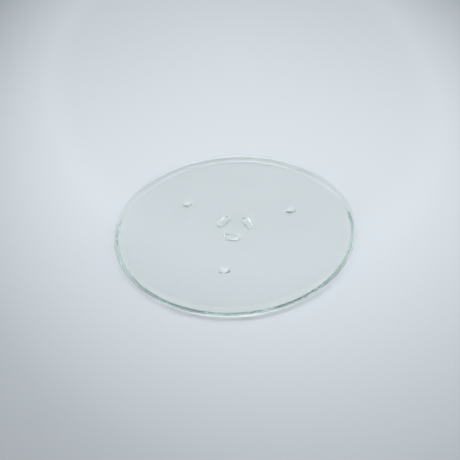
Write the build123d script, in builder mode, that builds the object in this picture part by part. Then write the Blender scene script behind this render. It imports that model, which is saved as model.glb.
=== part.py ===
"""A glass turntable plate for a microwave oven, pressed in one piece.

The plate stands as it does in use, with the dish side up. The axis of the plate is Z, and Z = 0 is
the table under the drive lugs, which point down.
"""

import os
from math import radians, tan

from build123d import *

# Floor of the plate, and the low rim that rises from it to the lip
plate_diameter = 288.0
floor_thickness = 3.6
rim_width = 12.0
rim_rise = 1.8
dish_bend_radius = 9.0

# Rounded lip round the edge, and the bevel from under the lip down to the underside
lip_width = 1.8
lip_thickness = 2.0
lip_round = 0.9
bevel_angle = 45.0
underside_bend_radius = 1.3

# Drive lugs, which stand round the coupler of the oven
lug_count = 3
lug_circle_radius = 17.6
lug_first_angle = 19.1
lug_length = 20.0
lug_width = 9.0
lug_height = 3.2
lug_corner_radius = 4.4
lug_draft_angle = 22.0
lug_crown_radius = 1.5

# Round feet, lower than the lugs, which stop the plate when it tips
foot_count = 3
foot_circle_radius = 74.5
foot_first_angle = 19.1
foot_diameter = 14.0
foot_height = 2.0
foot_root_radius = 1.5

# The largest share of a width or of a corner that the rounding of its edge may take up
round_share = 0.49
crown_share = 0.6

# Heights and radii of the turned section
underside_height = max(lug_height, foot_height)
dish_floor_height = underside_height + floor_thickness
rim_height = dish_floor_height + rim_rise
lip_height = rim_height - lip_thickness
plate_radius = plate_diameter / 2
lip_end_radius = plate_radius - lip_round
lip_root_radius = plate_radius - lip_width
bevel_width = (lip_height - underside_height) / tan(radians(bevel_angle))
underside_radius = lip_root_radius - bevel_width
dish_floor_radius = plate_radius - rim_width

# Corners of the section, from the underside round the lip to the dish
underside_edge = (underside_radius, underside_height)
bevel_root = (lip_root_radius, lip_height)
lip_under_end = (lip_end_radius, lip_height)
lip_top_end = (lip_end_radius, rim_height)
dish_edge = (dish_floor_radius, dish_floor_height)

# Roundings that a narrow lug holds back
lug_corner_round = min(lug_corner_radius, round_share * lug_width)
lug_crown_corner = lug_corner_round - lug_height * tan(radians(lug_draft_angle))
lug_crown_round = min(lug_crown_radius, crown_share * lug_crown_corner)

# A foot is a ball's cap on a short stem that is sunk in the floor.
foot_radius = foot_diameter / 2
foot_stem = floor_thickness / 2

with BuildPart() as foot:
    with BuildSketch(Plane.XZ):
        with BuildLine():
            TangentArc((0, -foot_height), (foot_radius, 0), tangent=(1, 0))
            Polyline(
                (foot_radius, 0),
                (foot_radius, foot_stem),
                (0, foot_stem),
                (0, -foot_height),
            )
        make_face()
    revolve(axis=Axis.Z)

with BuildPart() as glass_plate:
    # Floor, rim, lip and bevel as one turned section
    with BuildSketch(Plane.XZ) as section:
        with BuildLine():
            Polyline((0, underside_height), underside_edge, bevel_root, lip_under_end)
            EllipticalCenterArc(
                (lip_end_radius, lip_height + lip_thickness / 2),
                lip_round,
                lip_thickness / 2,
                start_angle=-90,
                arc_size=180,
            )
            Polyline(
                lip_top_end,
                dish_edge,
                (0, dish_floor_height),
                (0, underside_height),
            )
        make_face()
        for corner, radius in (
            (underside_edge, underside_bend_radius),
            (dish_edge, dish_bend_radius),
        ):
            fillet(section.vertices().sort_by_distance(corner)[0], radius)
    revolve(axis=Axis.Z)

    # Drive lugs, drawn in for the mould and rounded at the crown
    with BuildSketch(Plane((0, 0, underside_height), x_dir=(1, 0, 0), z_dir=(0, 0, -1))):
        with PolarLocations(lug_circle_radius, lug_count, start_angle=-lug_first_angle):
            RectangleRounded(lug_width, lug_length, lug_corner_round)
    extrude(amount=lug_height, taper=lug_draft_angle)
    fillet(glass_plate.edges(Select.LAST).group_by(Axis.Z)[0], lug_crown_round)

    # Feet
    with Locations((0, 0, underside_height)):
        with PolarLocations(foot_circle_radius, foot_count, start_angle=foot_first_angle):
            add(foot.part)
    fillet(glass_plate.edges(Select.LAST).group_by(Axis.Z)[-1], foot_root_radius)

glass_plate.part.label = "glass_plate"
os.makedirs("parts", exist_ok=True)
export_step(glass_plate.part, "parts/glass_plate.step")
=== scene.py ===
"""The looks of a clear glass turntable plate that stands on a pale table, dish side up."""

from math import asin, cos, pi, radians, sin, sqrt, tan

import bmesh
import bpy
import numpy as np
from mathutils import Matrix, Vector
from mathutils.geometry import delaunay_2d_cdt


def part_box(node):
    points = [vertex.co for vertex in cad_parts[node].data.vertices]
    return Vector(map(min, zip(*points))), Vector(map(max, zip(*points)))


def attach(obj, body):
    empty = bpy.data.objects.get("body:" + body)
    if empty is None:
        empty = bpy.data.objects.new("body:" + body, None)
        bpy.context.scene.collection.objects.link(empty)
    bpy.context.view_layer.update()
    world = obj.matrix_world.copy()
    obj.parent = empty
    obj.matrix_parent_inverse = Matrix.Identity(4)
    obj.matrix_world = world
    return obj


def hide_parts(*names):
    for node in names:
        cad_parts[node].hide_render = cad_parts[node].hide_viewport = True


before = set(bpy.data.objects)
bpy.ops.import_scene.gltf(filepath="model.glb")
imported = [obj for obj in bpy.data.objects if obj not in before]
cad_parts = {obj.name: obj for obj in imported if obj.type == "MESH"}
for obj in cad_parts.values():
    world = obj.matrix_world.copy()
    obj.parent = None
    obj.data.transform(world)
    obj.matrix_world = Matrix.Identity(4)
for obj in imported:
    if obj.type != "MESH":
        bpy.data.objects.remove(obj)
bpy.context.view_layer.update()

scene = bpy.context.scene
scene.view_settings.view_transform = "Standard"

# Glass plate
# One piece of clear soda-lime glass, pressed in a mould, with nothing fixed to it: a flat floor, a
# low rim with a rounded lip and a bevel under it, and three drive lugs and three feet underneath.
MM = 0.001
plate_low, plate_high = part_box("glass_plate")
plate_radius = (plate_high.x - plate_low.x) / 2
rim_height = plate_high.z
underside_height = 3.2 * MM
rim_rise = 1.8 * MM
rim_width = 12.0 * MM
flat_margin = 2.0 * MM
dish_bend_radius = 9.0 * MM
lip_width = 1.8 * MM
lip_thickness = 2.0 * MM
lip_round = 0.9 * MM
bevel_root_radius = 2.0 * MM
underside_bend_radius = 1.3 * MM

lug_count = 3
first_lug_angle = radians(19.1)
lug_circle_radius = 17.6 * MM
lug_length = 20.0 * MM
lug_width = 9.0 * MM
lug_corner_radius = 4.4 * MM
lug_draft = radians(22.0)
lug_crown_radius = 1.5 * MM
lug_root_radius = 0.5 * MM
lug_margin = 1.6 * MM

foot_circle_radius = 74.5 * MM
foot_radius = 7.0 * MM
foot_height = 2.0 * MM
foot_root_radius = 1.5 * MM
foot_margin = 8.5 * MM

ROUND_STEPS = 480
ARC_STEPS = 14
LIP_STEPS = 32
FOOT_STEPS = 96
BALL_STEPS = 24
CORNER_STEPS = 14
EDGE_GUARD = 0.1 * MM
LONG_RUN = 4 * EDGE_GUARD
WELD = 1e-7


def rounded_run(corners, radii, steps):
    """A chain of straight runs with each inner corner replaced by an arc that touches both runs.

    The centre of an arc lies on the corner's bisector, at its radius over the sine of half the
    corner's angle, and its points turn evenly from one touching point to the other.
    """
    corners = np.asarray(corners, float)
    radii = np.asarray(radii, float)[:, None]
    middle = corners[1:-1]
    back = corners[:-2] - middle
    ahead = corners[2:] - middle
    back /= np.linalg.norm(back, axis=1, keepdims=True)
    ahead /= np.linalg.norm(ahead, axis=1, keepdims=True)
    half = np.arccos(np.clip((back * ahead).sum(1, keepdims=True), -1, 1)) / 2
    bisector = (back + ahead) / (2 * np.cos(half))
    centre = middle + bisector * radii / np.sin(half)
    first = middle + back * radii / np.tan(half) - centre
    last = middle + ahead * radii / np.tan(half) - centre
    turn = (pi - 2 * half)[:, None]
    share = np.linspace(0, 1, steps)[None, :, None]
    arc = np.sin((1 - share) * turn) * first[:, None] + np.sin(share * turn) * last[:, None]
    arc = centre[:, None] + arc / np.sin(turn)
    return np.vstack([corners[:1], arc.reshape(-1, 2), corners[-1:]])


def guarded(points):
    """The same chain with two more points on each long run, which keep its shading flat.

    One lies a guard's length after the start of the run, and one as far before its end.
    """
    step = np.diff(points, axis=0)
    length = np.linalg.norm(step, axis=1)
    long_runs = np.flatnonzero(length > LONG_RUN)
    share = (EDGE_GUARD / length[long_runs])[:, None]
    near = points[long_runs] + step[long_runs] * share
    far = points[long_runs] + step[long_runs] * (1 - share)
    places = np.repeat(long_runs + 1, 2)
    return np.insert(points, places, np.stack([near, far], 1).reshape(-1, 2), axis=0)


def grid_faces(rows, columns, start):
    """Quads of a grid whose columns close on themselves.

    The point in a row and a column has the number start, plus row times columns, plus column.
    """
    row, column = np.meshgrid(np.arange(rows - 1), np.arange(columns), indexing="ij")
    beside = (column + 1) % columns
    this_row = row * columns
    next_row = this_row + columns
    quads = np.stack(
        [this_row + column, this_row + beside, next_row + beside, next_row + column], -1
    )
    return quads.reshape(-1, 4) + start


def turned(profile, steps, centre=(0.0, 0.0)):
    """Each point (radius, height) of the profile carried round an upright axis, as rows of points.

    x and y are the radius times the cosine and the sine of the angle, and z is the height.
    """
    angle = 2 * pi * np.arange(steps) / steps
    radius = profile[:, :1]
    x = centre[0] + radius * np.cos(angle)
    y = centre[1] + radius * np.sin(angle)
    z = np.repeat(profile[:, 1:], steps, axis=1)
    return np.stack([x, y, z], -1)


class Shell:
    """Points and faces of one closed surface, gathered patch by patch."""

    def __init__(self):
        self.points = []
        self.faces = []
        self.count = 0

    def add_rows(self, rows):
        """Adds rows of points, closed on themselves, with quads between them."""
        number, columns = rows.shape[:2]
        self.points.append(rows.reshape(-1, 3))
        self.faces += grid_faces(number, columns, self.count).tolist()
        self.count += number * columns

    def add_cap(self, ring):
        """Adds one flat face inside a ring of points."""
        self.points.append(ring)
        self.faces.append(list(range(self.count, self.count + len(ring))))
        self.count += len(ring)

    def add_triangles(self, points, triangles):
        """Adds points with the triangles between them."""
        self.points.append(points)
        self.faces += (triangles + self.count).tolist()
        self.count += len(points)

    def make(self, name):
        """Makes one welded mesh object, smooth and facing outwards."""
        mesh = bpy.data.meshes.new(name)
        mesh.from_pydata(np.vstack(self.points), [], self.faces)
        work = bmesh.new()
        work.from_mesh(mesh)
        bmesh.ops.remove_doubles(work, verts=work.verts, dist=WELD)
        bmesh.ops.recalc_face_normals(work, faces=work.faces)
        work.to_mesh(mesh)
        work.free()
        mesh.shade_smooth()
        thing = bpy.data.objects.new(name, mesh)
        scene.collection.objects.link(thing)
        return thing


# Section of the rim, from the flat underside over the bevel and round the lip to the dish
dish_floor_height = rim_height - rim_rise
lip_height = rim_height - lip_thickness
lip_end_radius = plate_radius - lip_round
lip_root_radius = plate_radius - lip_width
underside_radius = lip_root_radius - (lip_height - underside_height)
dish_floor_radius = plate_radius - rim_width
flat_radius = dish_floor_radius - flat_margin

outer_run = rounded_run(
    [
        (flat_radius, underside_height),
        (underside_radius, underside_height),
        (lip_root_radius, lip_height),
        (lip_end_radius, lip_height),
    ],
    [underside_bend_radius, bevel_root_radius],
    ARC_STEPS,
)
lip_turn = np.linspace(-pi / 2, pi / 2, LIP_STEPS)
lip_run = np.stack(
    [
        lip_end_radius + lip_round * np.cos(lip_turn),
        lip_height + lip_thickness / 2 * (1 + np.sin(lip_turn)),
    ],
    -1,
)
inner_run = rounded_run(
    [
        (lip_end_radius, rim_height),
        (dish_floor_radius, dish_floor_height),
        (flat_radius, dish_floor_height),
    ],
    [dish_bend_radius],
    ARC_STEPS,
)
rim_profile = guarded(np.vstack([outer_run[:-1], lip_run, inner_run[1:]]))

shell = Shell()
rim_rows = turned(rim_profile, ROUND_STEPS)
shell.add_rows(rim_rows)
shell.add_cap(rim_rows[-1])

# Feet, on the same three radii as the lugs and not as tall: a ball's cap, whose root is an arc that
# touches both the ball and the underside
ball_radius = (foot_radius**2 + foot_height**2) / (2 * foot_height)
ball_height = foot_height - ball_radius
root_reach = sqrt((ball_radius + foot_root_radius) ** 2 - (foot_root_radius - ball_height) ** 2)
root_tilt = asin((foot_root_radius - ball_height) / (ball_radius + foot_root_radius))
root_turn = np.linspace(-pi / 2, root_tilt - pi, ARC_STEPS)
root_run = np.stack(
    [
        root_reach + foot_root_radius * np.cos(root_turn),
        foot_root_radius * (1 + np.sin(root_turn)),
    ],
    -1,
)
ball_turn = np.linspace(root_tilt, pi / 2, BALL_STEPS)
ball_run = np.stack(
    [ball_radius * np.cos(ball_turn), ball_height + ball_radius * np.sin(ball_turn)], -1
)
foot_start = [(foot_margin, 0.0), (root_reach + EDGE_GUARD, 0.0)]
foot_profile = np.vstack([foot_start, root_run, ball_run[1:]])
foot_profile[:, 1] = underside_height - foot_profile[:, 1]
foot_profile[-1, 0] = 0.0
lug_angles = first_lug_angle + 2 * pi * np.arange(lug_count) / lug_count
outwards = np.stack([np.cos(lug_angles), np.sin(lug_angles)], -1)
foot_centres = foot_circle_radius * outwards
foot_rings = []
for centre in foot_centres:
    foot_rows = turned(foot_profile, FOOT_STEPS, centre)
    shell.add_rows(foot_rows)
    foot_rings.append(foot_rows[0])

# Lugs: the side's section, as inset and height, carried round a rounded oblong
lug_height = underside_height
lug_lean = lug_height * tan(lug_draft)
lug_crown_inset = lug_lean + lug_crown_radius
lug_profile = guarded(
    rounded_run(
        [(-lug_margin, 0.0), (0.0, 0.0), (lug_lean, lug_height), (lug_crown_inset, lug_height)],
        [lug_root_radius, lug_crown_radius],
        ARC_STEPS,
    )
)
corner_turn = np.linspace(0, pi / 2, CORNER_STEPS)
outline_turn = (np.arange(4)[:, None] * pi / 2 + corner_turn).ravel()
corner_signs = np.repeat([(1, 1), (-1, 1), (-1, -1), (1, -1)], CORNER_STEPS, axis=0)
corner_centres = corner_signs * (np.array([lug_width, lug_length]) / 2 - lug_corner_radius)
outline_normals = np.stack([np.cos(outline_turn), np.sin(outline_turn)], -1)
lug_plan = corner_centres + (lug_corner_radius - lug_profile[:, :1, None]) * outline_normals
lug_rings = []
for angle in lug_angles:
    lug_turn = np.array([[cos(angle), sin(angle)], [-sin(angle), cos(angle)]])
    plan = (lug_plan + (lug_circle_radius, 0.0)) @ lug_turn
    height = np.broadcast_to(underside_height - lug_profile[:, 1:, None], plan.shape[:2] + (1,))
    lug_rows = np.concatenate([plan, height], -1)
    shell.add_rows(lug_rows)
    shell.add_cap(lug_rows[-1])
    lug_rings.append(lug_rows[0])

# Flat underside between the rim, the feet and the lugs: all of it is filled with triangles, and
# those whose middle lies in a foot or a lug are left out
rings = [rim_rows[0], *foot_rings, *lug_rings]
flat_points = np.vstack(rings)
ring_edges = []
ring_start = 0
for ring in rings:
    number = np.arange(len(ring))
    ring_edges.append(np.stack([number, (number + 1) % len(ring)], -1) + ring_start)
    ring_start += len(ring)
filled = delaunay_2d_cdt(
    flat_points[:, :2].tolist(), np.vstack(ring_edges).tolist(), [], 0, WELD
)
triangles = np.array(filled[2])
fill_points = np.array(filled[0])
middles = fill_points[triangles].mean(1)
inside_foot = np.linalg.norm(middles[:, None] - foot_centres, axis=-1) < foot_margin
sidewards = np.stack([-np.sin(lug_angles), np.cos(lug_angles)], -1)
across = np.abs(middles @ outwards.T - lug_circle_radius) - lug_width / 2 + lug_corner_radius
along = np.abs(middles @ sidewards.T) - lug_length / 2 + lug_corner_radius
corner_gap = np.hypot(np.maximum(across, 0), np.maximum(along, 0))
lug_reach = lug_corner_radius + lug_margin
inside_lug = (corner_gap < lug_reach) & (np.maximum(across, along) < lug_reach)
kept = ~(inside_foot.any(1) | inside_lug.any(1))
heights = np.full((len(fill_points), 1), underside_height)
shell.add_triangles(np.hstack([fill_points, heights]), triangles[kept])

plate = shell.make("pressed_glass_plate")

# Clear glass: light caught in the floor runs a long way before it leaves, and comes out green
glass_colour = (0.994, 1.0, 0.988, 1.0)
glass_ior = 1.52
tint_colour = (0.39, 0.63, 0.60, 1.0)
tint_density = 3.8
glass = bpy.data.materials.new("clear_pressed_glass")
glass.use_nodes = True
glass_tree = glass.node_tree
glass_tree.nodes.clear()
glass_output = glass_tree.nodes.new("ShaderNodeOutputMaterial")
glass_body = glass_tree.nodes.new("ShaderNodeBsdfPrincipled")
glass_body.inputs["Base Color"].default_value = glass_colour
glass_body.inputs["IOR"].default_value = glass_ior
glass_body.inputs["Transmission Weight"].default_value = 1.0
glass_tint = glass_tree.nodes.new("ShaderNodeVolumeAbsorption")
glass_tint.inputs["Color"].default_value = tint_colour
glass_tint.inputs["Density"].default_value = tint_density
glass_tree.links.new(glass_body.outputs["BSDF"], glass_output.inputs["Surface"])
glass_tree.links.new(glass_tint.outputs["Volume"], glass_output.inputs["Volume"])


def feed(tree, socket, value):
    """Links a socket to another node's output, or sets it to a number or a colour."""
    if isinstance(value, bpy.types.NodeSocket):
        tree.links.new(value, socket)
    else:
        socket.default_value = value


def reckoned(tree, operation, *values):
    """The output of a Math node that works on numbers or on other nodes' outputs."""
    node = tree.nodes.new("ShaderNodeMath")
    node.operation = operation
    for socket, value in zip(node.inputs, values):
        feed(tree, socket, value)
    return node.outputs["Value"]


def risen(tree, value, start, full):
    """An output that is 0 up to the value start, 1 from the value full on, and even between."""
    node = tree.nodes.new("ShaderNodeMapRange")
    feed(tree, node.inputs["Value"], value)
    feed(tree, node.inputs["From Min"], start)
    feed(tree, node.inputs["From Max"], full)
    return node.outputs["Result"]


# The lugs keep the grain of the mould, and all of the plate has a faint waviness.
grain_reach = 27.0 * MM
grain_edge = 2.0 * MM
grain_top = underside_height - 0.3 * MM
grain_full = underside_height - 0.8 * MM
grain_roughness = 0.35
grain_scale = 700.0
grain_depth = 0.02 * MM
wave_scale = 45.0
wave_detail = 1.0
wave_depth = 0.0004 * MM
glass_place = glass_tree.nodes.new("ShaderNodeTexCoord").outputs["Object"]
glass_axes = glass_tree.nodes.new("ShaderNodeSeparateXYZ")
glass_tree.links.new(glass_place, glass_axes.inputs["Vector"])
reach = glass_tree.nodes.new("ShaderNodeVectorMath")
reach.operation = "LENGTH"
glass_tree.links.new(glass_place, reach.inputs[0])
below = risen(glass_tree, glass_axes.outputs["Z"], grain_top, grain_full)
central = risen(glass_tree, reach.outputs["Value"], grain_reach, grain_reach - grain_edge)
on_lug = reckoned(glass_tree, "MULTIPLY", below, central)
dullness = reckoned(glass_tree, "MULTIPLY", on_lug, grain_roughness)
glass_tree.links.new(dullness, glass_body.inputs["Roughness"])
grain = glass_tree.nodes.new("ShaderNodeTexNoise")
grain.inputs["Scale"].default_value = grain_scale
glass_tree.links.new(glass_place, grain.inputs["Vector"])
wave = glass_tree.nodes.new("ShaderNodeTexNoise")
wave.inputs["Scale"].default_value = wave_scale
wave.inputs["Detail"].default_value = wave_detail
glass_tree.links.new(glass_place, wave.inputs["Vector"])
wave_share = wave_depth / grain_depth
grain_height = reckoned(glass_tree, "MULTIPLY", grain.outputs["Fac"], on_lug)
glass_height = reckoned(
    glass_tree, "MULTIPLY_ADD", wave.outputs["Fac"], wave_share, grain_height
)
relief = glass_tree.nodes.new("ShaderNodeBump")
relief.inputs["Distance"].default_value = grain_depth
glass_tree.links.new(glass_height, relief.inputs["Height"])
glass_tree.links.new(relief.outputs["Normal"], glass_body.inputs["Normal"])
plate.data.materials.append(glass)

# Light goes to and fro in the floor many times, so it is followed over many bounces.
light_bounces = 96
scene.cycles.blur_glossy = 0.0
scene.cycles.max_bounces = light_bounces
scene.cycles.glossy_bounces = light_bounces
scene.cycles.transmission_bounces = light_bounces

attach(plate, "root")
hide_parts("glass_plate")

# Table
# A wide sheet of pale matt card, on which the plate stands loose. Its colour carries painted shade:
# it darkens away from a spot behind the plate, as light that falls off would make it.
table_size = 6.0
table_drop = 0.05 * MM
table_corners = np.array([(-1, -1, 0), (1, -1, 0), (1, 1, 0), (-1, 1, 0)]) * table_size / 2
table_mesh = bpy.data.meshes.new("table")
table_mesh.from_pydata(table_corners, [], [(0, 1, 2, 3)])
table = bpy.data.objects.new("table", table_mesh)
table.location.z = -table_drop
scene.collection.objects.link(table)

card_colour = np.array((0.611, 0.656, 0.704))
painted_shade_middle = (0.015, 0.473, 0.0)
painted_shade_turn = radians(5.7)
painted_shade_reach = (0.53, 0.924, 1.0)
# Painted shade: shares of the card colour that darken it away from the bright spot towards its
# edges.
card_painted_falloff = ((0.0, 0.553), (0.15, 0.699), (0.38, 0.935), (0.5, 0.945), (1.0, 1.0))
card_roughness = 0.9
card_shine = 0.2
card = bpy.data.materials.new("pale_card_with_painted_shade")
card.use_nodes = True
card_tree = card.node_tree
card_body = card_tree.nodes["Principled BSDF"]
card_place = card_tree.nodes.new("ShaderNodeTexCoord")
painted_shade_mapping = card_tree.nodes.new("ShaderNodeMapping")
painted_shade_mapping.vector_type = "TEXTURE"
painted_shade_mapping.inputs["Location"].default_value = painted_shade_middle
painted_shade_mapping.inputs["Rotation"].default_value = (0.0, 0.0, painted_shade_turn)
painted_shade_mapping.inputs["Scale"].default_value = painted_shade_reach
painted_shade_round = card_tree.nodes.new("ShaderNodeTexGradient")
painted_shade_round.gradient_type = "SPHERICAL"
card_painted_shade = card_tree.nodes.new("ShaderNodeValToRGB")
card_painted_shade.color_ramp.interpolation = "CARDINAL"
painted_shade_stops = card_painted_shade.color_ramp.elements
for number, (position, share) in enumerate(card_painted_falloff):
    stop = painted_shade_stops[number] if number < len(painted_shade_stops) else painted_shade_stops.new(position)
    stop.position = position
    stop.color = (*(share * card_colour), 1.0)
card_tree.links.new(card_place.outputs["Object"], painted_shade_mapping.inputs["Vector"])
card_tree.links.new(painted_shade_mapping.outputs["Vector"], painted_shade_round.inputs["Vector"])
card_tree.links.new(painted_shade_round.outputs["Fac"], card_painted_shade.inputs["Fac"])
card_tree.links.new(card_painted_shade.outputs["Color"], card_body.inputs["Base Color"])
card_body.inputs["Roughness"].default_value = card_roughness
card_body.inputs["Specular IOR Level"].default_value = card_shine
table_mesh.materials.append(card)

# Studio light
# A room with pale side walls, end walls that darken downwards and a bright ceiling, and three soft
# lamps above the plate. The walls light the edge of the glass, and the lamps give its shadow.
world = bpy.data.worlds.new("room")
world.use_nodes = True
room = world.node_tree
facing = room.nodes.new("ShaderNodeTexCoord")
facing_axes = room.nodes.new("ShaderNodeSeparateXYZ")
room.links.new(facing.outputs["Generated"], facing_axes.inputs["Vector"])


def blended(tree, share, first, second):
    """A colour that goes evenly from the first to the second as the share goes from 0 to 1."""
    node = tree.nodes.new("ShaderNodeMix")
    node.data_type = "RGBA"
    feed(tree, node.inputs["Factor"], share)
    feed(tree, node.inputs["A"], first)
    feed(tree, node.inputs["B"], second)
    return node.outputs["Result"]


end_wall_light = (0.14, 0.165, 0.13, 1.0)
end_wall_low_light = (0.05, 0.05, 0.05, 1.0)
end_wall_dim = radians(8.0)
end_wall_full = radians(34.0)
end_rise = risen(room, facing_axes.outputs["Z"], sin(end_wall_dim), sin(end_wall_full))
end_walls = blended(room, end_rise, end_wall_low_light, end_wall_light)

side_wall_light = (1.18, 1.19, 1.2, 1.0)
side_wall_edge = radians(26.0)
side_wall_full = radians(54.0)
aside = reckoned(room, "ABSOLUTE", facing_axes.outputs["X"])
sideways = risen(room, aside, sin(side_wall_edge), sin(side_wall_full))
walls = blended(room, sideways, end_walls, side_wall_light)

ceiling_light = (1.32, 1.32, 1.32, 1.0)
ceiling_edge = radians(49.5)
ceiling_full = radians(53.0)
upwards = risen(room, facing_axes.outputs["Z"], sin(ceiling_edge), sin(ceiling_full))
whole_room = blended(room, upwards, walls, ceiling_light)
room.links.new(whole_room, room.nodes["Background"].inputs["Color"])
scene.world = world


def lamp(name, place, size, power):
    """A round soft lamp at a place, turned to the middle of the plate."""
    data = bpy.data.lights.new(name, "AREA")
    data.shape = "DISK"
    data.size = size
    data.energy = power
    thing = bpy.data.objects.new(name, data)
    thing.location = place
    thing.rotation_euler = (-Vector(place)).to_track_quat("-Z", "Y").to_euler()
    scene.collection.objects.link(thing)


overhead_power = 0.475
overhead_size = 0.25
overhead_place = (0.0, -0.06, 0.75)
side_power = 1.025
side_size = 0.25
side_place = np.array((0.34, 0.0, 0.7))
lamp("overhead_lamp", overhead_place, overhead_size, overhead_power)
lamp("left_lamp", side_place * (-1, 1, 1), side_size, side_power)
lamp("right_lamp", side_place, side_size, side_power)

# Camera
# It looks down on the plate from close by in front, a little rolled, as the photograph does. Its
# place and turn were fitted to the outline, the feet and the lugs.
PICTURE = 460
SENSOR = 36.0
radius_over_distance = 0.18
view_distance = plate_radius / radius_over_distance
view_elevation = radians(41.07)
view_end = 100.0
axis_turn = radians(-0.478)
axis_elevation = radians(41.319)
view_roll = radians(3.92)
focal_pixels = 664.7
aim_height = 4.2 * MM
camera_data = bpy.data.cameras.new("camera")
camera_data.sensor_width = SENSOR
camera_data.lens = focal_pixels * SENSOR / PICTURE
camera_data.clip_end = view_end
camera = bpy.data.objects.new("camera", camera_data)
view_place = Vector((0, -cos(view_elevation), sin(view_elevation))) * view_distance
view_place += Vector((0, 0, aim_height))
level_share = cos(axis_elevation)
view_ahead = Vector(
    (sin(axis_turn) * level_share, cos(axis_turn) * level_share, -sin(axis_elevation))
)
level_right = view_ahead.cross(Vector((0, 0, 1))).normalized()
level_up = level_right.cross(view_ahead)
view_right = level_right * cos(view_roll) - level_up * sin(view_roll)
view_up = level_up * cos(view_roll) + level_right * sin(view_roll)
view_turn = Matrix((view_right, view_up, -view_ahead)).transposed().to_4x4()
camera.matrix_world = Matrix.Translation(view_place) @ view_turn
scene.collection.objects.link(camera)
scene.camera = camera
